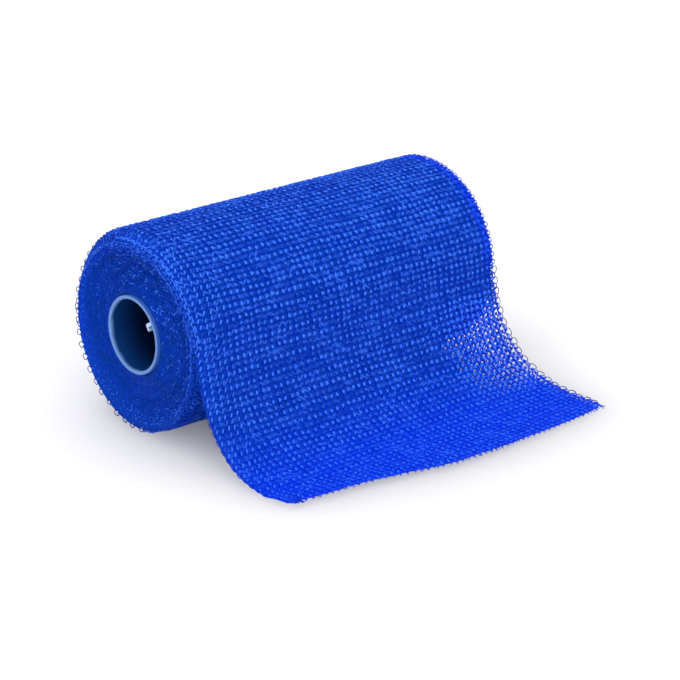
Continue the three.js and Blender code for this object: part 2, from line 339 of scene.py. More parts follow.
def tube_mesh(paths, normals, radius, closed, tone, flatten=1.0, glow=0.0):
    """Yarn carried along many paths at once: at each point a ring of four points, at radius times the
    cosine to the side of the path plus flatten times the sine along its normal. Closed paths join end to
    start, and open ones get a face at each end. What would lie below the surface is pressed up to it."""
    count, steps = paths.shape[:2]
    sides = YARN_SIDES
    if closed:
        tangent = unit(np.roll(paths, -1, axis=1) - np.roll(paths, 1, axis=1))
    else:
        tangent = unit(np.gradient(paths, axis=1))
    side = unit(np.cross(tangent, normals))
    up = np.cross(side, tangent)
    turn = 2 * np.pi * np.arange(sides) / sides
    radius = np.broadcast_to(radius, (count, steps))[..., None, None]
    around = side[:, :, None] * np.cos(turn)[:, None] + flatten * up[:, :, None] * np.sin(turn)[:, None]
    points = (paths[:, :, None] + radius * around).reshape(-1, 3)
    points[:, 2] = np.maximum(points[:, 2], 0.0)

    spans = steps if closed else steps - 1
    p, i, j = np.meshgrid(np.arange(count), np.arange(spans), np.arange(sides), indexing="ij")
    base = p * steps * sides
    row, next_row = base + i * sides, base + (i + 1) % steps * sides
    quads = np.stack([row + j, row + (j + 1) % sides, next_row + (j + 1) % sides, next_row + j], -1)
    length = np.linalg.norm(paths[:, 1] - paths[:, 0], axis=-1).mean()
    corners = [(i, j), (i, j + 1), (i + 1, j + 1), (i + 1, j)]
    uv = np.stack([np.stack([u * length, v / sides], -1) for u, v in corners], -2)
    quads, uv = quads.reshape(-1, 4), uv.reshape(-1, 4, 2)
    if not closed:
        first = np.arange(count)[:, None] * steps * sides + np.arange(sides)[::-1]
        last = first[:, ::-1] + (steps - 1) * sides
        quads = np.concatenate([quads, first, last])
        uv = np.concatenate([uv, np.zeros((2 * count, 4, 2))])
    made = {"points": points, "quads": quads, "uv": uv}
    for name, value in (("tone", tone), ("glow", glow)):
        made[name] = np.broadcast_to(np.atleast_2d(value)[..., None], (count, steps, sides)).ravel()
    return made


def join_meshes(parts):
    """Several meshes' arrays as one."""
    start = np.cumsum([0] + [len(part["points"]) for part in parts[:-1]])
    joined = {name: np.concatenate([part[name] for part in parts]) for name in parts[0]}
    joined["quads"] = np.concatenate([part["quads"] + first for part, first in zip(parts, start)])
    return joined


def grid_mesh(points, close_rows, close_columns, tone):
    """A mesh over a grid of points, whose rows and columns may close on themselves."""
    rows, columns = points.shape[:2]
    i, j = np.meshgrid(
        np.arange(rows if close_rows else rows - 1),
        np.arange(columns if close_columns else columns - 1),
        indexing="ij",
    )
    next_i, next_j = (i + 1) % rows, (j + 1) % columns
    places = [(i, j), (i, next_j), (next_i, next_j), (next_i, j)]
    quads = np.stack([row * columns + column for row, column in places], -1)
    corners = [(i, j), (i, j + 1), (i + 1, j + 1), (i + 1, j)]
    uv = np.stack([np.stack([u / rows, v / columns], -1) for u, v in corners], -2)
    return {
        "points": points.reshape(-1, 3),
        "quads": quads.reshape(-1, 4),
        "uv": uv.reshape(-1, 4, 2),
        "tone": np.broadcast_to(tone, (rows, columns)).ravel(),
        "glow": np.zeros(rows * columns),
    }


def signed_volume(points, quads):
    """Six times the volume that the faces enclose, below 0 where they point inwards."""
    a, b, c, d = (points[quads[:, k]] for k in range(4))
    return float(np.einsum("ij,ij->", a, np.cross(b, c)) + np.einsum("ij,ij->", a, np.cross(c, d)))


def new_piece(name, made, material, replaced=()):
    """Puts a mesh's arrays and material into a new object, turns its faces outwards and lets it ride on
    the frame."""
    points, quads, uv = made["points"], made["quads"], made["uv"]
    if signed_volume(points, quads) < 0:
        quads, uv = quads[:, ::-1], uv[:, ::-1]
    mesh = bpy.data.meshes.new(name)
    mesh.vertices.add(len(points))
    mesh.vertices.foreach_set("co", (points * MM).astype(np.float32).ravel())
    mesh.loops.add(quads.size)
    mesh.loops.foreach_set("vertex_index", quads.astype(np.int32).ravel())
    mesh.polygons.add(len(quads))
    mesh.polygons.foreach_set("loop_start", np.arange(0, quads.size, 4, dtype=np.int32))
    mesh.polygons.foreach_set("use_smooth", np.ones(len(quads), bool))
    layer = mesh.uv_layers.new(name="Yarn")
    layer.uv.foreach_set("vector", uv.astype(np.float32).ravel())
    for name_of_value in ("tone", "glow"):
        layer = mesh.attributes.new(name_of_value, "FLOAT", "POINT")
        layer.data.foreach_set("value", made[name_of_value].astype(np.float32))
    mesh.update(calc_edges=True)
    if mesh.validate():
        raise RuntimeError(f"{name} has faces that Blender had to mend")
    mesh.materials.append(material)
    piece = bpy.data.objects.new(name, mesh)
    bpy.context.scene.collection.objects.link(piece)
    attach(piece, "root")
    if replaced:
        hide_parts(*replaced)
    return piece


def whole_courses(face, wale):
    """How many whole courses a wale has from where the loose end leaves the roll to the cut."""
    return np.floor(face.length_at((wale + 0.5) / WALES) / COURSE)


def knit_noise(offset, layers, wale, course):
    """Seeded noise of a spread of 1, in layers, with a value for each stitch."""
    noise = np.random.default_rng(SEED + offset).normal(0.0, 1.0, (layers, *NOISE_TABLE))
    return noise[:, course.astype(int) % NOISE_TABLE[0], wale.astype(int) % NOISE_TABLE[1]]


def corner_cut(wale):
    """How many courses the cut stands back at the near corner: a parabola over the first wale."""
    return 0.30 * np.clip(1 - wale, 0.0, 1.0) ** 2


def cut_shift(face, wale, course):
    """How far the last courses of a wale are moved along the tape so that they end at the cut: by what
    is left over after its whole courses, times a smooth step over the last eight of them."""
    whole = whole_courses(face, wale)
    left_over = face.length_at((wale + 0.5) / WALES) / COURSE - whole
    return left_over * ramp(course - whole, *LAST_COURSES)


def stretched(wale, course):
    """Where the knit is stretched open, from 0 to 1: by the far edge of the fall."""
    along = ramp(course, *STRETCH["courses"]) * ramp(course, *STRETCH["courses back"])
    return ramp(wale, *STRETCH["wales"]) * along


def far_strip(wale, course):
    """The strip along the roll's far edge, from 0 to 1, whose painted glow gives it a plainer, purer blue.
    """
    return ramp(wale, *FAR_STRIP["wales"]) * ramp(course, *FAR_STRIP["courses"])


def painted_glow_at(wale, course):
    """How much painted glow the tape has, painted in as a purer blue: all of it where it lies flat on the
    pale surface, which sends light back through it, most of it in the strip along the roll's far edge, more
    than half where it is stretched open, and none elsewhere."""
    glow = np.maximum(ramp(course, *PAINTED_GLOW_COURSES), 0.6 * stretched(wale, course))
    return np.maximum(glow, 0.85 * far_strip(wale, course))


def bead_heights(wale, course, noise, other_noise, drawn):
    """How far each stitch's bead stands out, from 0 to 1: a base and a slow wave, the product of two sines,
    one pair for the even courses and one for the odd ones, and noise. Drawn-out stitches stand out at
    least by their share, those under the roll less, and those in the far strip less as well. The same share
    sets a bead's painted highlight, so the beads under the roll, in shade, are darker."""
    slow = 0.5 + 0.5 * np.sin(0.55 * course + 0.06 * wale) * np.sin(0.11 * wale - 0.23 * course + 1.0)
    slack = 0.5 + 0.5 * np.sin(0.37 * course - 0.13 * wale + 2.0) * np.sin(0.19 * wale + 0.31 * course)
    even = course.astype(int) % 2 == 0
    proud = np.where(even, EVEN_BEAD[0] + EVEN_BEAD[1] * slow, ODD_BEAD[0] + ODD_BEAD[1] * slack)
    proud = np.clip(proud + 0.09 * noise, 0.03, 1.0)
    proud = np.maximum(proud, (0.45 + 0.22 * other_noise) * drawn)
    proud = proud * (1 - 0.75 * ramp(course, *ROLL_UNDERSIDE))
    return proud * (1 - 0.75 * far_strip(wale, course))


def chain_stitches(face, wale, course, yarn, drift):
    """Chain stitches: each is a slim ring of six points, wide by a sine and long by a cosine times a power
    of itself, which draws the four points of its two legs together. The square of the sine, over 3/4, is 1
    on the legs and 0 at the head and foot: by it the legs stand up, thicken and carry a painted highlight,
    so that a stitch is one bead of painted light. In every second course the bead is round and proudest,
    and in the others it is slacker, leans to a side and lies somewhat deeper. The legs are drawn out long
    by the near edge, in front, and less so in the loose end. Towards the near shoulder and the top of the
    roll the stitches are finer and less regular, and their painted highlight is duller."""
    noise = knit_noise(0, 6, wale, course)
    front = ramp(wale, *NEAR_FRONT["wales"]) * ramp(course, *NEAR_FRONT["courses"])
    drawn = np.maximum(front, 0.45 * painted_glow_at(wale, course))
    proud = bead_heights(wale, course, noise[1], noise[5], drawn)[:, None]
    # How much the stitches are made finer, less regular and duller in their painted highlight
    scuffs_and_dulling = ramp(wale, *NEAR_SHOULDER["wales"]) * ramp(course, *NEAR_SHOULDER["courses"])
    scuffs_and_dulling = np.maximum(scuffs_and_dulling, 0.6 * ramp(course, *ROLL_TOP))[:, None]
    odd = (course.astype(int) % 2)[:, None]
    wale, course, drawn, noise = wale[:, None], course[:, None], drawn[:, None], noise[:, :, None]

    turn = 2 * np.pi * np.arange(6)[None, :] / 6
    leg = (np.sin(turn) ** 2 / 0.75) ** (1 - 0.7 * drawn)
    wide = (RING_HALF_WIDTH + 0.015 * odd + 0.010 * noise[0]) * (1 - 0.5 * drawn)
    long = -RING_HALF_LENGTH * np.cos(turn) * np.abs(np.cos(turn)) ** (0.8 * (1 - drawn))
    lean = (0.03 + 0.08 * odd + 0.09 * scuffs_and_dulling) * noise[4] * (1 - 0.6 * drawn) + 0.18 * drawn
    stray = (0.045 + 0.07 * scuffs_and_dulling) * noise[2]
    w = wale + 0.5 + wide * np.sin(turn) + lean * np.cos(turn) + stray
    c = course + 0.50 + long + 0.06 * noise[3] + cut_shift(face, wale, course)
    h = CHAIN_LEVEL + (LEG_RISE[0] + LEG_RISE[1] * proud) * leg
    paths, normals = knit_point(face, w, c, h, drift)
    # Painted highlight: the legs of a proud bead are lighter, and less so where they are dulled
    tone = 0.12 + (0.08 + (1.00 - 0.38 * scuffs_and_dulling) * proud) * leg
    tone = tone + (0.20 + 0.90 * leg) * stretched(w, c)
    swell = YARN_SWELL[0] + (YARN_SWELL[1] + YARN_SWELL[2] * proud) * leg
    radius = yarn * swell * (1 - 0.25 * drawn) * (1 - 0.22 * scuffs_and_dulling)
    return tube_mesh(paths, normals, radius, True, tone, FLATTEN["chain"], painted_glow_at(w, c))


def laid_in_yarns(face, wale, course, yarn, drift):
    """The two yarns laid in between neighbouring chains, pressed flat. In each course they cross from one
    chain to the next on opposite slants, one over the other, and rise by a sine between them. Before the
    cut they run straight. Where the knit is stretched open, by the far edge of the fall, they are slimmer,
    and one of the two lies half a course further on, across the openings."""
    noise = knit_noise(1, 3, wale, course)[:, :, None]
    last = course >= np.minimum(whole_courses(face, wale), whole_courses(face, wale + 1)) - 1
    steepness = np.where(last, 0.1, 1.0)[:, None]
    open_here = stretched(wale, course)[:, None]
    width = yarn * (1 - 0.45 * open_here)
    wale, course = wale[:, None], course[:, None]
    t = np.linspace(0.0, 1.0, 3)[None, :]
    parts = []
    for slant, level, unlike, shift, light in (
        (LAID_SLANT, LAID_LEVELS[0], noise[0], 0.0, 0.50),
        (-LAID_SLANT, LAID_LEVELS[1], noise[1], 0.5, -0.30),
    ):
        lean = steepness * slant * (1 + 0.15 * unlike)
        w = wale + 0.5 + t
        c = course + 0.5 + lean * (t - 0.5) + (0.05 + 0.10 * open_here) * noise[2] + shift * open_here
        c = c + cut_shift(face, np.where(t < 0.5, wale, wale + 1), course)
        h = level + 0.10 * np.sin(np.pi * t) * (1 + 0.3 * unlike)
        paths, normals = knit_point(face, w, c, h, drift)
        # Painted highlight: the yarn is lighter where it rises between the chains
        tone = np.clip(0.20 + 0.16 * unlike, 0.0, 0.6) + 0.14 * np.sin(np.pi * t) + light * open_here
        parts.append(tube_mesh(paths, normals, width, False, tone, FLATTEN["laid"], painted_glow_at(w, c)))
    return join_meshes(parts)


def ground_cells(face):
    """The loose end's ground as wale and course numbers, in half wales and half courses about the
    crossings, and which of its cells are there. Where the knit is stretched, the one cell in four that lies
    between two crossings is open, and the wider the more it is stretched. Points past the cut are brought
    back to it, and it is notched between the chains by a cosine and rounded at the near corner by a
    parabola."""
    w = np.concatenate([[0.0], np.arange(0.25, WALES - 1.0, 0.5), [WALES - 0.75]])
    c = np.concatenate([[-0.6], np.arange(-0.25, face.longest / COURSE + 0.5, 0.5)])
    wales, courses = np.meshgrid(w, c)
    end = face.length_at(wales / WALES) / COURSE
    end = end - 0.18 * (1 + np.cos(2 * np.pi * wales)) - corner_cut(wales)
    uneven = np.random.default_rng(SEED + 6).normal(0.0, 0.15, wales.shape)
    cell_size = 0.45 + 0.47 * stretched(wales, courses) + uneven
    off_edge = (wales > 0.1) & (wales < WALES - 0.8)
    wales = np.where(off_edge, np.round(wales) + (wales - np.round(wales)) * cell_size, wales)
    courses = np.minimum(np.round(courses) + (courses - np.round(courses)) * cell_size, end)

    middle_w, middle_c = (w[1:] + w[:-1])[None, :] / 2, (c[1:] + c[:-1])[:, None] / 2
    between = (np.abs(middle_w - np.round(middle_w)) < 0.1) & (np.abs(middle_c - np.round(middle_c)) < 0.1)
    inside = (middle_w > 1) & (middle_w < WALES - 0.9)
    least = 0.07 + 0.25 * np.abs(uneven[1:, 1:]) / 0.12
    opened = between & inside & (stretched(middle_w, middle_c) > least)
    before_cut = (c[:-1, None] < end[:-1, :-1]) | (c[:-1, None] < end[:-1, 1:])
    return wales, courses, ~opened & before_cut


def ground_sheet(face, drift):
    """The loose end's ground, a thin sheet under the yarns: its cells on the outer and on the inner side,
    joined by walls round the sheet and round each opening."""
    wales, courses, kept = ground_cells(face)
    sides = [knit_point(face, wales, courses, np.full(wales.shape, h), drift)[0] for h in GROUND_LEVELS]
    rows, columns = wales.shape
    number = np.arange(rows * columns).reshape(rows, columns)
    inner = number + rows * columns
    cell = [number[:-1, :-1], number[:-1, 1:], number[1:, 1:], number[1:, :-1]]
    under = [inner[:-1, :-1], inner[:-1, 1:], inner[1:, 1:], inner[1:, :-1]]
    around = np.pad(kept, 1)
    beside = [around[:-2, 1:-1], around[1:-1, 2:], around[2:, 1:-1], around[1:-1, :-2]]
    quads = [np.stack([k[kept] for k in cell], -1), np.stack([k[kept] for k in under[::-1]], -1)]
    for edge, neighbour in enumerate(beside):
        wall = kept & ~neighbour
        after = (edge + 1) % 4
        quads.append(
            np.stack([cell[after][wall], cell[edge][wall], under[edge][wall], under[after][wall]], -1)
        )
    quads = np.concatenate(quads)
    points = np.concatenate([side.reshape(-1, 3) for side in sides])
    used, quads = np.unique(quads, return_inverse=True)
    place = np.stack([wales, courses], -1).reshape(-1, 2) / WALES
    return {
        "points": points[used],
        "quads": quads.reshape(-1, 4),
        "uv": np.tile(place, (2, 1))[used][quads.reshape(-1, 4)],
        "tone": np.tile(0.14 - 0.35 * stretched(wales, courses).ravel(), 2)[used],
        "glow": np.tile(painted_glow_at(wales, courses).ravel(), 2)[used],
    }


def chain_backs(face, yarn, drift):
    """The chains as they show on the loose end's inner side: a flat yarn along each wale, two points to a
    course, which swells and sways from side to side by a cosine from one stitch to the next."""
    w = np.arange(WALES - 1)[:, None] + 0.5
    step = np.arange(0, int(2 * face.longest / COURSE) + 1)[None, :]
    end = face.length_at(w / WALES) / COURSE - 0.3
    c = np.minimum(step / 2, end - 0.02 * (step[:, -1:] - step) / step.size)
    sway = np.cos(np.pi * step)
    paths, normals = knit_point(face, w + 0.07 * sway, c, np.full(c.shape, BACK_LEVEL), drift)
    tone = 0.25 + 0.45 * (0.5 + 0.5 * sway)
    radius = yarn * (0.75 + 0.35 * sway)
    return tube_mesh(paths, normals, radius, False, tone, FLATTEN["back"], painted_glow_at(w, c))


def edge_loops(face, side, course, start, half_length, reach, flare, yarn, drift, tone):
    """Loops along one edge of the tape, about the given course numbers. Each runs along the edge, turns out
    into a ring, reach wide by a cosine and twice half_length long by a sine, and runs on along the edge, to
    a knot that it shares with the next one. It starts a few tenths of a wale in from the edge, and the ring
    leans up from the tape's face by flare, as a share. A dark loop is lighter at its knots, by the square
    of the cosine."""
    turn = np.concatenate([[-1.0], np.linspace(-0.90, 0.90, 11), [1.0]])[None, :] * np.pi
    edge, way = (0.0, -1.0) if side == "near" else (float(WALES), 1.0)
    noise = np.random.default_rng(SEED + (side == "near")).normal(0.0, 1.0, (2, 300))
    pick = np.arange(len(course)) % 300
    size = (reach * (1 + 0.17 * noise[0][pick]))[:, None]
    c = half_length * np.sin(turn)
    half_pitch = 0.5 * (course[1] - course[0])
    c[:, 0], c[:, -1] = -half_pitch, half_pitch
    c = course[:, None] + 1.0 + c + 0.08 * noise[1][pick][:, None]
    w = np.full(c.shape, edge - way * start)
    point, normal = knit_point(face, w, c, np.full(c.shape, LOOP_LEVEL), drift)
    inner = knit_point(face, w - way, c, np.full(c.shape, LOOP_LEVEL), drift)[0]
    outward = unit(point - inner)
    upright = unit(normal * np.array([0.0, 1.0, 1.0]))
    straight = np.array([way, 0.0, 0.0])
    lean = unit((1 - flare) * (0.5 * outward + 0.5 * straight) + flare * upright)
    paths = point + lean * (size * (1 + np.cos(turn)) / 2)[..., None]
    paths[..., 2] = np.maximum(paths[..., 2], yarn)
    up = unit(np.cross(lean, np.gradient(point, axis=1)))
    at_knot = (1 - np.cos(turn)) / 2
    shade = tone + max(0.35 - tone, 0.0) * at_knot**2
    radius = yarn * (1 + 0.8 * at_knot**6)
    return tube_mesh(paths, up, radius, False, shade, FLATTEN["loop"], painted_glow_at(w, c))


def cut_yarns(face, yarn):
    """The cut end's short yarn ends: three to a wale, close by its chain, each a stub past the cut with its
    own slant, and the middle one the longest. They droop by the square of the way along them. At the near
    corner more are set in, longer, thicker and without droop, and make a small tuft."""
    in_tuft = 26
    rng = np.random.default_rng(SEED + 5)
    chains = np.arange(WALES)[:, None] + 0.5
    from_chain = np.array([-0.17, 0.0, 0.17])
    wale = np.concatenate([(chains + from_chain).ravel(), rng.uniform(0.5, 1.7, in_tuft)])[:, None]
    middle = np.concatenate([np.tile([0.0, 1.0, 0.0], WALES), np.zeros(in_tuft)])[:, None]
    tuft = ramp(wale, 2.1, 1.5)
    reach = 0.04 + 0.12 * middle + 0.14 * rng.uniform(0.0, 1.0, wale.shape)
    reach = reach + rng.uniform(0.0, 0.55, wale.shape) * tuft
    slant = rng.normal(0.0, 0.12, wale.shape)
    height = CUT_LEVEL + rng.uniform(-0.16, 0.20, wale.shape) + rng.uniform(0.0, 0.6, wale.shape) * tuft
    t = np.linspace(0.0, 1.0, 3)[None, :]
    end = face.length_at(wale / WALES) / COURSE - corner_cut(wale)
    droop = (0.20 + 0.25 * middle) * (1 - tuft)
    h = height - 0.12 * t - droop * t * t
    paths, normals = knit_point(face, wale + slant * t, end - 0.5 + (0.5 + reach) * t, h, 0.0)
    tone = rng.uniform(-0.15, 0.40, wale.shape) - 0.1 * tuft
    radius = yarn * (1.25 + 0.35 * tuft)
    return tube_mesh(paths, normals, radius, False, tone, FLATTEN["cut"], glow=0.8)


def knit_patch(face, wales, courses, knit):
    """A stretch of knit: its chains and its laid-in yarn, as far as the cut end."""
    w, c = (grid.ravel().astype(float) for grid in np.meshgrid(wales, courses, indexing="ij"))
    kept = c < whole_courses(face, w)
    parts = [chain_stitches(face, w[kept], c[kept], knit.chain_yarn / MM / 2, knit.drift)]
    kept = (c < np.minimum(whole_courses(face, w), whole_courses(face, w + 1))) & (w < WALES - 1)
    parts.append(laid_in_yarns(face, w[kept], c[kept], knit.laid_yarn / MM / 2, knit.drift))
    return join_meshes(parts)


def both_edges(face, knit, rows):
    """The loops along the tape's edges, row by row, as far as the cut end."""
    parts = []
    for side, first, last, pitch, start, half_length, reach, flare, tone in rows:
        edge = np.array(0.0 if side == "near" else 1.0)
        loops = np.arange(first, last - 0.4 * pitch, pitch)
        loops = loops[loops + 1 + pitch / 2 < face.length_at(edge) / COURSE]
        yarn, size = knit.loop_yarn / MM / 2, knit.loop_reach / MM * reach
        flare = min(flare * knit.flare, 1.0)
        parts.append(edge_loops(face, side, loops, start, half_length, size, flare, yarn, knit.drift, tone))
    return join_meshes(parts)


def end_depth(side, share, radius, angle):
    """Depth of a dished end behind its end plane: a smooth curve through the measured depths, a low
    spiral ridge and, finer, a groove between each turn of the tape and the next."""
    fade = np.sin(np.pi * share)
    ridge = RIDGE_HEIGHT * fade * np.cos(2 * np.pi * radius / RIDGE_PITCH - np.radians(angle))
    turns = np.abs(np.sin(np.pi * (radius / GROOVE_PITCH - angle / 360)))
    uneven = 0.5 + 0.5 * np.sin(radius * 3.1 + 1.7 * np.sin(np.radians(angle) * 3 + radius))
    grooves = GROOVE_DEPTH * fade * (1 - turns) * (0.45 + 0.55 * uneven)
    return smooth_table(share, END_SHARES, END_DEPTHS[side]) + ridge + grooves


def face_radius(side, angle, share):
    """Radius of the wound turns on an end face: in a straight line from the bore to the rim, less the
    spiral's step, which is kept to the outermost turns by the share's fourth power."""
    rim = ROLL_RADIUS - GROUND_DEPTH - shoulder_drop(side, 0.0, angle)
    return BORE_RADIUS + (rim - BORE_RADIUS) * share - (ROLL_RADIUS - spiral_radius(angle)) * share**4


def wound_turns(stations, face_rows):
    """The turns under the outermost one, as one closed body: for each angle its section runs from the bore
    out over the near end, round the shoulder, along the roll, and back over the far end and the bore."""
    angle = LEAVE_ANGLE - np.linspace(0.0, 359.5, stations)[:, None]
    share = np.linspace(0.0, 1.0, face_rows)[None, :]
    sections = []
    outer = spiral_radius(angle) - GROUND_DEPTH
    for side, sign in (("near", -1.0), ("far", 1.0)):
        radius = face_radius(side, angle, share)
        inset = end_depth(side, share, radius, angle) + END_SETBACK
        face = roll_point(sign * (HALF_WIDTH - inset), radius, angle, CORE_DROP * (1 - share))
        distance = np.linspace(0.0, 1.0, 9)[None, 1:] * SHOULDERS[side]["depth"]
        x = sign * (HALF_WIDTH - distance - END_SETBACK)
        shoulder = roll_point(x, outer - shoulder_drop(side, distance, angle), angle)
        sections.append(np.concatenate([face, shoulder], axis=1))
    x = np.linspace(-HALF_WIDTH + 6.0, HALF_WIDTH - 3.0, 16)[None, :]
    middle = roll_point(x, outer, angle)
    points = np.concatenate([sections[0], middle, sections[1][:, ::-1]], axis=1)
    return grid_mesh(points, True, True, 0.2)


def turn_edges(side, turns, yarn, reach):
    """The tape's edge loops on an end of the roll: small arches set along the spiral of the turns, each
    on its own slant. Each stands out from the end by reach times a sine. By a cosine of the angle they
    stand out further on the side from which the light comes, and a painted highlight makes them lighter
    there, and they are lighter at the rim."""
    rng = np.random.default_rng(SEED + 3 + (side == "near"))
    angle, radius, size = [], [], []
    for turn in range(turns):
        middle = BORE_RADIUS + EDGE_LOOPS["start"] + EDGE_LOOPS["pitch"] * turn
        count = int(2 * math.pi * middle / EDGE_LOOPS["spacing"])
        places = (np.arange(count) + rng.uniform(-0.3, 0.3, count)) / count * 360
        angle.append(places)
        radius.append(middle + EDGE_LOOPS["pitch"] * places / 360 + rng.normal(0.0, 0.10, count))
        size.append(reach * rng.uniform(0.55, 1.15, count))
    angle, radius, size = (np.concatenate(v)[:, None] for v in (angle, radius, size))
    s = np.linspace(0.0, 1.0, 4)[None, :]
    slant = rng.uniform(-1.2, 1.2, angle.shape)
    along = (s - 0.5) * EDGE_LOOPS["length"]
    a = LEAVE_ANGLE - angle + np.degrees(along * np.cos(slant) / radius)
    radius = radius + 0.7 * along * np.sin(slant)
    rim = face_radius(side, a, np.ones(a.shape))
    share = np.clip((radius - BORE_RADIUS) / (rim - BORE_RADIUS), 0.0, 1.0)
    lit = 0.5 + 0.5 * np.cos(np.radians(a - HIGHLIGHT_ANGLE))
    depth = end_depth(side, share, radius, a) + 0.4 - size * (0.4 + 0.6 * lit) * np.sin(np.pi * s)
    sign = -1.0 if side == "near" else 1.0
    paths = roll_point(sign * (HALF_WIDTH - depth), radius, a, CORE_DROP * (1 - share))
    middle = np.array([0.0, 0.0, AXIS_HEIGHT])
    normals = unit((paths - middle) * np.array([0.0, 1.0, 1.0]))
    # Painted highlight, strongest on the side from which the light comes
    painted_highlight = 0.66 + 0.34 * np.cos(np.radians(a[:, :1] - HIGHLIGHT_ANGLE))
    tone = 0.06 + 0.90 * rng.uniform(0.0, 1.0, angle.shape) ** 1.8 * painted_highlight
    tone = tone + 0.25 * ramp(radius[:, 1:2], *EDGE_RIM)
    return tube_mesh(paths, normals, yarn, False, tone)


def core_tube(segments):
    """The core: a closed outline of its wall, whose lips are quarter circles, turned round the axis."""
    inner = CORE_RADIUS - CORE_WALL
    arc = np.linspace(0.0, np.pi / 2, 6)
    rise, run = LIP_ROUND * np.sin(arc), LIP_ROUND * np.cos(arc)
    lip_radius = np.concatenate([CORE_RADIUS - LIP_ROUND + run, inner + LIP_ROUND - rise])
    lip_x = HALF_WIDTH - LIP_ROUND + np.concatenate([rise, run])
    straight = np.linspace(HALF_WIDTH - 4, -HALF_WIDTH + 4, 10)
    radius = [lip_radius, np.full(10, inner), lip_radius[::-1], np.full(10, CORE_RADIUS)]
    x = [lip_x, straight, -lip_x[::-1], straight[::-1]]
    radius, x = np.concatenate(radius)[None, :], np.concatenate(x)[None, :]
    turn = np.linspace(0.0, 2 * np.pi, segments, endpoint=False)[:, None]
    y, z = radius * np.cos(turn), CORE_HEIGHT + radius * np.sin(turn)
    return grid_mesh(np.stack(np.broadcast_arrays(x, y, z), -1), True, True, 0.0)


def core_lug():
    """The hooked lug inside the near mouth: a section of rounded corners, carried along the core. A corner
    is a quarter circle about a point set in from it."""
    inner, low = CORE_RADIUS - CORE_WALL, LUG_TOP - LUG["width"]
    root, tip = -inner - LUG_ROOT, LUG["reach"] - inner
    hook, hook_end = tip - LUG["hook_width"], low - LUG["hook"]
    corners = [(root, LUG_TOP), (root, low), (hook, low), (hook, hook_end), (tip, hook_end), (tip, LUG_TOP)]
    corners = np.array(corners)
    before = unit(np.roll(corners, 1, axis=0) - corners)[:, None]
    after = unit(np.roll(corners, -1, axis=0) - corners)[:, None]
    t = np.linspace(0.0, np.pi / 2, 5)[None, :, None]
    bend = LUG_CORNER * ((1 - np.sin(t)) * before + (1 - np.cos(t)) * after)
    section = (corners[:, None] + bend).reshape(-1, 2)
    middle = section.mean(0)
    x = LUG_INSET - HALF_WIDTH + LUG["length"] * np.array([0.0, 0.03, 0.10, 0.50, 0.90, 0.97, 1.0])
    shrink = np.array([0.72, 0.92, 1.0, 1.0, 1.0, 0.92, 0.72])
    ring = middle + (section[None] - middle) * shrink[:, None, None]
    a = math.radians(LUG["angle"])
    y = ring[..., 0] * math.cos(a) + ring[..., 1] * math.sin(a)
    z = -ring[..., 0] * math.sin(a) + ring[..., 1] * math.cos(a) + CORE_HEIGHT
    points = np.stack(np.broadcast_arrays(x[:, None], y, z), -1)
    caps = [points[:1].mean(1, keepdims=True), points[-1:].mean(1, keepdims=True)]
    points = np.concatenate(
        [np.broadcast_to(caps[0], points[:1].shape), points, np.broadcast_to(caps[1], points[:1].shape)]
    )
    return grid_mesh(points, False, True, 1.0)


# Materials


def add_node(tree, kind, values=None, **settings):
    """A node with its settings and the values of its inputs."""
    node = tree.nodes.new(kind)
    for name, value in settings.items():
        setattr(node, name, value)
    for name, value in (values or {}).items():
        node.inputs[name].default_value = value
    return node


def math_node(tree, operation, *terms):
    """A Math node over numbers and sockets."""
    node = add_node(tree, "ShaderNodeMath", operation=operation)
    for socket, term in zip(node.inputs, terms):
        if isinstance(term, (int, float)):
            socket.default_value = term
        else:
            tree.links.new(term, socket)
    return node.outputs[0]


def mix_colours(tree, mask, first, second):
    """Two colours, or sockets, mixed by a mask."""
    node = add_node(tree, "ShaderNodeMix", data_type="RGBA")
    sockets = [node.inputs[0], node.inputs[6], node.inputs[7]]
    for socket, term in zip(sockets, (mask, first, second)):
        if isinstance(term, bpy.types.NodeSocket):
            tree.links.new(term, socket)
        else:
            socket.default_value = term
    return node.outputs[2]


def stepped(tree, value, low, high):
    """0 below low, 1 above high and smooth between."""
    node = add_node(tree, "ShaderNodeMapRange", interpolation_type="SMOOTHSTEP")
    tree.links.new(value, node.inputs["Value"])
    node.inputs["From Min"].default_value = low
    node.inputs["From Max"].default_value = high
    return node.outputs["Result"]


def rgba(colour):
    """A property's colour with full alpha."""
    return (colour[0], colour[1], colour[2], 1.0)


def resin_film_group():
    """The uneven film of resin on the yarn: a mask of thicker patches, and a mask of small dry specks."""
    group = bpy.data.node_groups.new("Resin film", "ShaderNodeTree")
    for name, way, kind in (
        ("Coordinates", "INPUT", "NodeSocketVector"),
        ("Patch Scale", "INPUT", "NodeSocketFloat"),
        ("Speck Scale", "INPUT", "NodeSocketFloat"),
        ("Patches", "OUTPUT", "NodeSocketFloat"),
        ("Specks", "OUTPUT", "NodeSocketFloat"),
    ):
        group.interface.new_socket(name=name, in_out=way, socket_type=kind)
    given = add_node(group, "NodeGroupInput")
    put_out = add_node(group, "NodeGroupOutput")
    for scale, low, high, name in (
        ("Patch Scale", 0.38, 0.66, "Patches"),
        ("Speck Scale", 0.56, 0.70, "Specks"),
    ):
        noise = add_node(group, "ShaderNodeTexNoise", {"Detail": 3.0, "Roughness": 0.6})
        group.links.new(given.outputs["Coordinates"], noise.inputs["Vector"])
        group.links.new(given.outputs[scale], noise.inputs["Scale"])
        group.links.new(stepped(group, noise.outputs["Fac"], low, high), put_out.inputs[name])
    return group


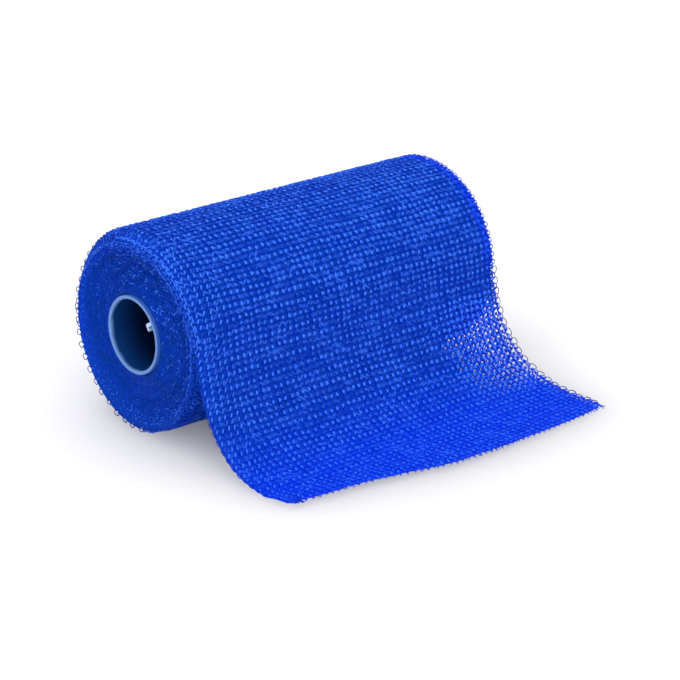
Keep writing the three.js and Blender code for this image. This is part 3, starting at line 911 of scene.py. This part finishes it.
def place_film(tree, vector, patch_scale, speck_scale):
    """The resin film's group, made once, in a material with its own scales."""
    group = bpy.data.node_groups.get("Resin film") or resin_film_group()
    node = add_node(tree, "ShaderNodeGroup", node_tree=group)
    tree.links.new(vector, node.inputs["Coordinates"])
    node.inputs["Patch Scale"].default_value = patch_scale
    node.inputs["Speck Scale"].default_value = speck_scale
    return node.outputs["Patches"], node.outputs["Specks"]


def new_material(name):
    """A material with its tree, its Principled shader and its Object coordinates, ready for nodes."""
    material = bpy.data.materials.new(name)
    material.use_nodes = True
    tree = material.node_tree
    place = add_node(tree, "ShaderNodeTexCoord").outputs["Object"]
    return material, tree, tree.nodes["Principled BSDF"], place


def attribute(tree, name):
    """A piece's own value at each point."""
    return add_node(tree, "ShaderNodeAttribute", attribute_name=name).outputs["Fac"]


def around_axis(tree, place, axis_height):
    """A place along an axis that runs along X and to its side, its height over it, and its distance from
    it, which is the root of the sum of the squares of the last two."""
    split = add_node(tree, "ShaderNodeSeparateXYZ")
    tree.links.new(place, split.inputs[0])
    along, side, up = split.outputs
    height = math_node(tree, "SUBTRACT", up, axis_height * MM)
    squares = [math_node(tree, "POWER", term, 2.0) for term in (side, height)]
    return along, side, height, math_node(tree, "SQRT", math_node(tree, "ADD", *squares))


def link_bump(tree, shader, height, strength, distance):
    """A height as bump in a shader's normal."""
    bump = add_node(tree, "ShaderNodeBump", {"Strength": strength, "Distance": distance})
    tree.links.new(height, bump.inputs["Height"])
    tree.links.new(bump.outputs["Normal"], shader.inputs["Normal"])


def yarn_material(knit):
    """Dyed glass-fibre yarn under resin. Its tone runs from the laid-in yarn's deep blue, at 0, to the
    chains' lighter one, at 1, which carries their painted highlight, below that to the navy of the twisted
    edge yarn, and above it to the pale blue of stretched yarn that light passes through, a painted glow.
    Where one layer lies on the pale surface, the light that the surface sends back through it is painted in
    as a purer blue, which the painted glow mixes in. The film's patches and specks lighten it, less what
    they add on the whole. Fine filaments run along it, and the resin leaves it patchy."""
    name = "Resin-coated blue yarn"
    if name in bpy.data.materials:
        return bpy.data.materials[name]
    patch_light, speck_light, mean_light = 0.14, 0.32, 0.16
    navy_tones, pale_tones = (-0.6, -0.1), (1.3, 2.3)
    filaments, twist = 7, 0.35
    material, tree, shader, place = new_material(name)
    patches, specks = place_film(tree, place, patch_scale=140.0, speck_scale=2200.0)
    mixed = math_node(tree, "MULTIPLY_ADD", patches, patch_light, attribute(tree, "tone"))
    mixed = math_node(tree, "MULTIPLY_ADD", specks, speck_light, mixed)
    mixed = math_node(tree, "SUBTRACT", mixed, mean_light)
    glow = attribute(tree, "glow")
    deep = mix_colours(tree, glow, rgba(knit.deep_colour), rgba(knit.glow_deep_colour))
    # The chains' lighter blue, which carries their painted highlight
    light = mix_colours(tree, glow, rgba(knit.bead_highlight_colour), rgba(knit.glow_bead_highlight_colour))
    colour = mix_colours(tree, stepped(tree, mixed, 0.0, 1.0), deep, light)
    colour = mix_colours(tree, stepped(tree, mixed, *navy_tones), rgba(knit.navy_colour), colour)
    colour = mix_colours(tree, stepped(tree, mixed, *pale_tones), colour, rgba(knit.pale_colour))
    tree.links.new(colour, shader.inputs["Base Color"])
    tree.links.new(math_node(tree, "MULTIPLY_ADD", patches, -0.16, 0.56), shader.inputs["Roughness"])

    split = add_node(tree, "ShaderNodeSeparateXYZ")
    tree.links.new(add_node(tree, "ShaderNodeUVMap", uv_map="Yarn").outputs["UV"], split.inputs[0])
    twisted = math_node(tree, "MULTIPLY_ADD", split.outputs[0], twist, split.outputs[1])
    waves = math_node(tree, "SINE", math_node(tree, "MULTIPLY", twisted, 2 * math.pi * filaments))
    height = math_node(tree, "MULTIPLY_ADD", specks, 0.8, math_node(tree, "MULTIPLY", waves, 0.5))
    link_bump(tree, shader, height, strength=0.35, distance=0.00006)
    shader.inputs["Specular IOR Level"].default_value = 0.04
    shader.inputs["Coat Weight"].default_value = 0.01
    shader.inputs["Coat Roughness"].default_value = 0.25
    return material


def turns_material(knit):
    """The wound turns: deep blue, with streaks that run round the roll on its ends, where the edges of the
    turns lie side by side, and lighter specks where a loop stands up. The ends' rim is as light as the
    outermost turn, and darker below the axis, which is painted shade."""
    across_turns, along_turns = 900.0, 450.0
    rim_radii, rim_shade_heights = (0.0235, 0.0285), (-0.026, -0.004)
    streak_light, speck_light, patch_light = 0.55, 0.35, 0.15
    material, tree, shader, place = new_material("Wound blue turns")
    _, side, height, radius = around_axis(tree, place, AXIS_HEIGHT)
    polar = add_node(tree, "ShaderNodeCombineXYZ")
    scaled = ((radius, across_turns), (side, along_turns), (height, along_turns))
    for socket, (term, scale) in zip(polar.inputs, scaled):
        tree.links.new(math_node(tree, "MULTIPLY", term, scale), socket)
    streaks = add_node(tree, "ShaderNodeTexNoise", {"Scale": 1.0, "Detail": 3.0, "Roughness": 0.55})
    tree.links.new(polar.outputs[0], streaks.inputs["Vector"])
    streaks = streaks.outputs["Fac"]
    patches, specks = place_film(tree, place, patch_scale=90.0, speck_scale=900.0)
    tone = math_node(tree, "MULTIPLY", stepped(tree, streaks, 0.35, 0.70), streak_light)
    tone = math_node(tree, "MULTIPLY_ADD", specks, speck_light, tone)
    tone = math_node(tree, "MULTIPLY_ADD", patches, patch_light, tone)
    # Painted shade: the rim is darker below the axis
    rim_lit_above_axis = math_node(tree, "MULTIPLY_ADD", stepped(tree, height, *rim_shade_heights), 0.55, 0.35)
    rim = math_node(tree, "MULTIPLY", stepped(tree, radius, *rim_radii), rim_lit_above_axis)
    tone = math_node(tree, "MAXIMUM", tone, rim)
    colour = mix_colours(tree, tone, rgba(knit.shade_colour), rgba(knit.ground_colour))
    tree.links.new(colour, shader.inputs["Base Color"])
    tree.links.new(math_node(tree, "MULTIPLY_ADD", patches, -0.12, 0.62), shader.inputs["Roughness"])
    height = math_node(tree, "MULTIPLY_ADD", specks, 0.4, streaks)
    link_bump(tree, shader, height, strength=0.5, distance=0.0003)
    shader.inputs["Specular IOR Level"].default_value = 0.04
    return material


def core_material(core):
    """Frosted moulded plastic: pale at the lips and the lug, and inside it turns, over a first depth from
    the mouth, to the dark of the tape that shows through the wall, and over a second, deeper in the bore,
    to a painted shade that is near black. The faces of the lips and the outer side are told apart by their
    distance from the axis. Its grain is a fine mould texture with a few scuffs."""
    wall_depths, bore_shade_depths = (0.0003, 0.0018), (0.0020, 0.0140)
    face_radii = ((CORE_RADIUS - 1.1) * MM, (CORE_RADIUS - 0.9) * MM)
    outer_radii = ((CORE_RADIUS - 0.35) * MM, (CORE_RADIUS - 0.05) * MM)
    scuff_share, edge_wander = 0.25, 0.0006
    material, tree, shader, place = new_material("Frosted core plastic")
    along, _, _, radius = around_axis(tree, place, CORE_HEIGHT)
    depth = math_node(tree, "SUBTRACT", HALF_WIDTH * MM, math_node(tree, "ABSOLUTE", along))
    patches, specks = place_film(tree, place, patch_scale=160.0, speck_scale=1200.0)
    uneven = math_node(tree, "MULTIPLY_ADD", patches, edge_wander, depth)
    scuffs = math_node(tree, "MULTIPLY", specks, scuff_share)
    scuffs_and_dulling = mix_colours(tree, scuffs, rgba(core.lip_colour), rgba(core.lug_colour))
    colour = mix_colours(tree, stepped(tree, uneven, *wall_depths), scuffs_and_dulling, rgba(core.wall_colour))
    # Painted shade: deep in the bore the colour turns near black
    colour = mix_colours(tree, stepped(tree, uneven, *bore_shade_depths), colour, rgba(core.bore_shade_colour))
    colour = mix_colours(tree, stepped(tree, radius, *face_radii), colour, scuffs_and_dulling)
    colour = mix_colours(tree, stepped(tree, radius, *outer_radii), colour, rgba(core.outside_colour))
    colour = mix_colours(tree, attribute(tree, "tone"), colour, rgba(core.lug_colour))
    tree.links.new(colour, shader.inputs["Base Color"])
    tree.links.new(math_node(tree, "MULTIPLY_ADD", patches, 0.12, 0.50), shader.inputs["Roughness"])
    link_bump(tree, shader, math_node(tree, "ADD", specks, patches), strength=0.15, distance=0.00008)
    shader.inputs["Specular IOR Level"].default_value = 0.12
    return material


def surface_material():
    """The plain pale surface, a sheet of frosted white acrylic with a trace of mottling."""
    material, tree, shader, place = new_material("Plain pale surface")
    noise = add_node(tree, "ShaderNodeTexNoise", {"Scale": 3.0})
    tree.links.new(place, noise.inputs["Vector"])
    colour = mix_colours(tree, noise.outputs["Fac"], rgba([0.76] * 3), rgba([0.78] * 3))
    tree.links.new(colour, shader.inputs["Base Color"])
    shader.subsurface_method = "BURLEY"
    shader.inputs["Subsurface Weight"].default_value = 1.0
    shader.inputs["Subsurface Radius"].default_value = (1.0, 1.0, 1.0)
    shader.inputs["Subsurface Scale"].default_value = 0.10
    shader.inputs["Roughness"].default_value = 0.9
    return material


# What a user may change

LENGTH = {"subtype": "DISTANCE", "unit": "LENGTH"}
COLOUR = {"min": 0.0, "max": 1.0, "subtype": "COLOR"}


class KnitSettings(bpy.types.PropertyGroup):
    """Sizes and colours of the tape's knit."""

    chain_yarn: bpy.props.FloatProperty(
        name="Chain Yarn", description="Thickness of the yarn in the chain stitches",
        default=0.00058, min=0.0002, max=0.0012, **LENGTH,
    )
    laid_yarn: bpy.props.FloatProperty(
        name="Laid-in Yarn", description="Thickness of the yarn laid in between the chains",
        default=0.00072, min=0.0004, max=0.0024, **LENGTH,
    )
    loop_yarn: bpy.props.FloatProperty(
        name="Loop Yarn", description="Thickness of the yarn in the loops along the tape's edges",
        default=0.00032, min=0.0002, max=0.0012, **LENGTH,
    )
    loop_reach: bpy.props.FloatProperty(
        name="Loop Reach", description="How far the loops stand off the tape's edges",
        default=0.0021, min=0.0005, max=0.004, **LENGTH,
    )
    flare: bpy.props.FloatProperty(
        name="Loop Flare", description="How far the loops lean up from the tape, over their usual lean",
        default=1.0, min=0.0, max=2.0, subtype="FACTOR",
    )
    drift: bpy.props.FloatProperty(
        name="Drift", description="How far the knit wanders, as a share of a stitch",
        default=0.10, min=0.0, max=0.4, subtype="FACTOR",
    )
    # The proudest yarn's colour carries the stitches' painted highlight
    bead_highlight_colour: bpy.props.FloatVectorProperty(
        name="Light Blue", description="Colour of the proudest yarn",
        default=(0.040, 0.178, 0.91), **COLOUR,
    )
    deep_colour: bpy.props.FloatVectorProperty(
        name="Deep Blue", description="Colour of the yarn that lies deeper",
        default=(0.0, 0.031, 0.42), **COLOUR,
    )
    pale_colour: bpy.props.FloatVectorProperty(
        name="Pale Blue", description="Colour of stretched yarn, which light passes through",
        default=(0.22, 0.28, 0.96), **COLOUR,
    )
    navy_colour: bpy.props.FloatVectorProperty(
        name="Navy", description="Colour of the twisted yarn in the loops and at the cut",
        default=(0.004, 0.014, 0.19), **COLOUR,
    )
    ground_colour: bpy.props.FloatVectorProperty(
        name="Ground Blue", description="Colour of the turn below the outermost one",
        default=(0.0, 0.032, 0.40), **COLOUR,
    )
    shade_colour: bpy.props.FloatVectorProperty(
        name="Shade Blue", description="Colour between the wound turns",
        default=(0.0, 0.025, 0.20), **COLOUR,
    )
    # The proudest yarn's colour under the painted glow, with its painted highlight
    glow_bead_highlight_colour: bpy.props.FloatVectorProperty(
        name="Light Blue, Loose End", description="Colour of the proudest yarn of the loose end",
        default=(0.026, 0.138, 0.96), **COLOUR,
    )
    # The deeper yarn's colour under the painted glow
    glow_deep_colour: bpy.props.FloatVectorProperty(
        name="Deep Blue, Loose End", description="Colour of the yarn that lies deeper in the loose end",
        default=(0.0, 0.031, 0.69), **COLOUR,
    )


class CoreSettings(bpy.types.PropertyGroup):
    """Colours of the core."""

    lip_colour: bpy.props.FloatVectorProperty(
        name="Lip", description="Colour of the core's lips",
        default=(0.105, 0.21, 0.47), **COLOUR,
    )
    lug_colour: bpy.props.FloatVectorProperty(
        name="Lug", description="Colour of the lug, and of the scuffs on the lips",
        default=(0.36, 0.48, 0.72), **COLOUR,
    )
    wall_colour: bpy.props.FloatVectorProperty(
        name="Wall", description="Colour of the bore's wall just inside the mouth",
        default=(0.0, 0.026, 0.13), **COLOUR,
    )
    # Painted shade: the near black deep inside the bore
    bore_shade_colour: bpy.props.FloatVectorProperty(
        name="Bore", description="Colour deep inside the bore",
        default=(0.0, 0.004, 0.030), **COLOUR,
    )
    outside_colour: bpy.props.FloatVectorProperty(
        name="Outside", description="Colour of the core's outer side, on which the tape lies",
        default=(0.030, 0.090, 0.36), **COLOUR,
    )


class StageSettings(bpy.types.PropertyGroup):
    """The camera, the surface and the lights."""

    azimuth: bpy.props.FloatProperty(
        name="Azimuth", description="How far the camera stands round from the front, towards the near end",
        default=math.radians(41.775), subtype="ANGLE", unit="ROTATION",
    )
    elevation: bpy.props.FloatProperty(
        name="Elevation", description="How high the camera looks down from",
        default=math.radians(21.480), subtype="ANGLE", unit="ROTATION",
    )
    roll: bpy.props.FloatProperty(
        name="Roll", description="How far the camera is tipped to its side",
        default=math.radians(0.551), subtype="ANGLE", unit="ROTATION",
    )
    distance: bpy.props.FloatProperty(
        name="Distance", description="From the camera to the point that it looks at",
        default=0.73686, min=0.1, **LENGTH,
    )
    aim: bpy.props.FloatVectorProperty(
        name="Aim", description="The point that the camera looks at",
        default=(0.02304, 0.0, 0.00841), subtype="TRANSLATION", unit="LENGTH",
    )
    lens: bpy.props.FloatProperty(
        name="Lens", description="The camera's focal length on a 36 mm sensor, in millimetres",
        default=116.47, min=10.0,
    )
    key_strength: bpy.props.FloatProperty(
        name="Overhead Light", description="Strength of the wide soft light overhead",
        default=1.5, min=0.0,
    )
    fill_strength: bpy.props.FloatProperty(
        name="Front Light", description="Strength of the wide soft light from the front",
        default=2.4, min=0.0,
    )
    sky: bpy.props.FloatProperty(
        name="Sky", description="Strength of the white surroundings",
        default=0.76, min=0.0,
    )


# One operator for each piece or group of like pieces, and one for the stage


class TAPE_OT_stage(bpy.types.Operator):
    """Sets up the surface, the lights and the camera at the photograph's angle"""

    bl_idname = "casting_tape.stage"
    bl_label = "Set Up Stage"
    bl_options = {"REGISTER", "UNDO"}

    def execute(self, context):
        stage = context.scene.casting_tape_stage
        reach, level = 3.0, -0.0001
        corners = [(x * reach, y * reach, level) for x, y in ((-1, -1), (1, -1), (1, 1), (-1, 1))]
        mesh = bpy.data.meshes.new("pale_surface")
        mesh.from_pydata(corners, [], [(0, 1, 2, 3)])
        mesh.materials.append(surface_material())
        surface = bpy.data.objects.new("pale_surface", mesh)
        context.scene.collection.objects.link(surface)

        a, e = stage.azimuth, stage.elevation
        back = Vector((-math.sin(a) * math.cos(e), -math.cos(a) * math.cos(e), math.sin(e)))
        camera = bpy.data.objects.new("camera", bpy.data.cameras.new("camera"))
        camera.data.lens = stage.lens
        camera.data.sensor_width = 36.0
        camera.data.clip_start = 0.01
        upright = back.to_track_quat("Z", "Y").to_matrix()
        turned = upright @ Matrix.Rotation(stage.roll, 3, "Z")
        place = Matrix.Translation(Vector(stage.aim) + back * stage.distance)
        camera.matrix_world = place @ turned.to_4x4()
        context.scene.collection.objects.link(camera)
        context.scene.camera = camera

        for name, strength, spread, towards in (
            ("overhead_light", stage.key_strength, 60.0, (-0.15, 0.35, 1.0)),
            ("front_light", stage.fill_strength, 80.0, (-0.95, -1.0, 0.50)),
        ):
            light = bpy.data.objects.new(name, bpy.data.lights.new(name, "SUN"))
            light.data.energy = strength
            light.data.angle = math.radians(spread)
            light.matrix_world = Vector(towards).to_track_quat("Z", "Y").to_matrix().to_4x4()
            context.scene.collection.objects.link(light)

        world = bpy.data.worlds.new("white_surroundings")
        world.use_nodes = True
        background = world.node_tree.nodes["Background"]
        background.inputs["Color"].default_value = (1.0, 1.0, 1.0, 1.0)
        background.inputs["Strength"].default_value = stage.sky
        context.scene.world = world
        context.scene.view_settings.view_transform = "Standard"
        return {"FINISHED"}


class TAPE_OT_wound_turns(bpy.types.Operator):
    """Builds the turns under the outermost one, and the loops of their edges on both ends"""

    bl_idname = "casting_tape.wound_turns"
    bl_label = "Build Wound Turns"
    bl_options = {"REGISTER", "UNDO"}

    def execute(self, context):
        knit = context.scene.casting_tape_knit
        made = wound_turns(stations=300, face_rows=84)
        new_piece("wound_turns", made, turns_material(knit), ["tape_roll"])
        for side in ("near", "far"):
            made = turn_edges(side, turns=19, yarn=0.20, reach=0.70)
            new_piece(f"turn_edges_{side}", made, yarn_material(knit))
        return {"FINISHED"}


class TAPE_OT_outer_turn(bpy.types.Operator):
    """Knits the outermost turn over the wound ones, in three stretches across the tape"""

    bl_idname = "casting_tape.outer_turn"
    bl_label = "Knit Outer Turn"
    bl_options = {"REGISTER", "UNDO"}

    def execute(self, context):
        knit = context.scene.casting_tape_knit
        face = TapeFace()
        courses = np.arange(-ROLL_COURSES, 0)
        material = yarn_material(knit)
        for name, first, last in zip(("near", "middle", "far"), PIECE_BOUNDS, PIECE_BOUNDS[1:]):
            made = knit_patch(face, np.arange(first, last), courses, knit)
            new_piece(f"outer_turn_{name}", made, material)
        new_piece("outer_turn_loops", both_edges(face, knit, ROLL_LOOPS), material)
        return {"FINISHED"}


class TAPE_OT_loose_end(bpy.types.Operator):
    """Knits the loose end, from where it leaves the roll to its cut end"""

    bl_idname = "casting_tape.loose_end"
    bl_label = "Knit Loose End"
    bl_options = {"REGISTER", "UNDO"}

    def execute(self, context):
        knit = context.scene.casting_tape_knit
        face = TapeFace()
        last = int(math.ceil(face.longest / COURSE)) + 1
        material = yarn_material(knit)
        made = ground_sheet(face, knit.drift)
        ground = new_piece("loose_end_ground", made, material, ["loose_end"])
        made = knit_patch(face, np.arange(WALES), np.arange(0, last), knit)
        yarns = new_piece("loose_end_knit", made, material)
        made = [both_edges(face, knit, LOOSE_LOOPS), cut_yarns(face, knit.loop_yarn / MM / 2)]
        loops = new_piece("loose_end_loops", join_meshes(made), material)
        made = chain_backs(face, knit.chain_yarn / MM / 2, knit.drift)
        backs = new_piece("loose_end_backs", made, material)
        return {"FINISHED"}


class TAPE_OT_core(bpy.types.Operator):
    """Builds the core with its rounded lips, and the hooked lug inside its near mouth"""

    bl_idname = "casting_tape.core"
    bl_label = "Build Core"
    bl_options = {"REGISTER", "UNDO"}

    def execute(self, context):
        material = core_material(context.scene.casting_tape_core)
        new_piece("core_tube", core_tube(segments=144), material, ["core"])
        new_piece("core_lug", core_lug(), material)
        return {"FINISHED"}


class TAPE_PT_panel(bpy.types.Panel):
    """The roll's pieces and what may be changed on them"""

    bl_idname = "TAPE_PT_panel"
    bl_label = "Casting Tape Roll"
    bl_space_type = "VIEW_3D"
    bl_region_type = "UI"
    bl_category = "Casting Tape"

    def draw(self, context):
        for group, operators in (
            ("casting_tape_stage", ("casting_tape.stage",)),
            (
                "casting_tape_knit",
                ("casting_tape.wound_turns", "casting_tape.outer_turn", "casting_tape.loose_end"),
            ),
            ("casting_tape_core", ("casting_tape.core",)),
        ):
            box = self.layout.box()
            settings = getattr(context.scene, group)
            for name in settings.__annotations__:
                box.prop(settings, name)
            for operator in operators:
                box.operator(operator)


CLASSES = (
    KnitSettings,
    CoreSettings,
    StageSettings,
    TAPE_OT_stage,
    TAPE_OT_wound_turns,
    TAPE_OT_outer_turn,
    TAPE_OT_loose_end,
    TAPE_OT_core,
    TAPE_PT_panel,
)


def register():
    for cls in CLASSES:
        bpy.utils.register_class(cls)
    bpy.types.Scene.casting_tape_knit = bpy.props.PointerProperty(type=KnitSettings)
    bpy.types.Scene.casting_tape_core = bpy.props.PointerProperty(type=CoreSettings)
    bpy.types.Scene.casting_tape_stage = bpy.props.PointerProperty(type=StageSettings)


def unregister():
    del bpy.types.Scene.casting_tape_stage
    del bpy.types.Scene.casting_tape_core
    del bpy.types.Scene.casting_tape_knit
    for cls in reversed(CLASSES):
        bpy.utils.unregister_class(cls)


def main():
    """Builds the stage and every piece."""
    register()
    bpy.ops.casting_tape.stage()
    bpy.ops.casting_tape.wound_turns()
    bpy.ops.casting_tape.outer_turn()
    bpy.ops.casting_tape.loose_end()
    bpy.ops.casting_tape.core()


if __name__ == "__main__":
    main()
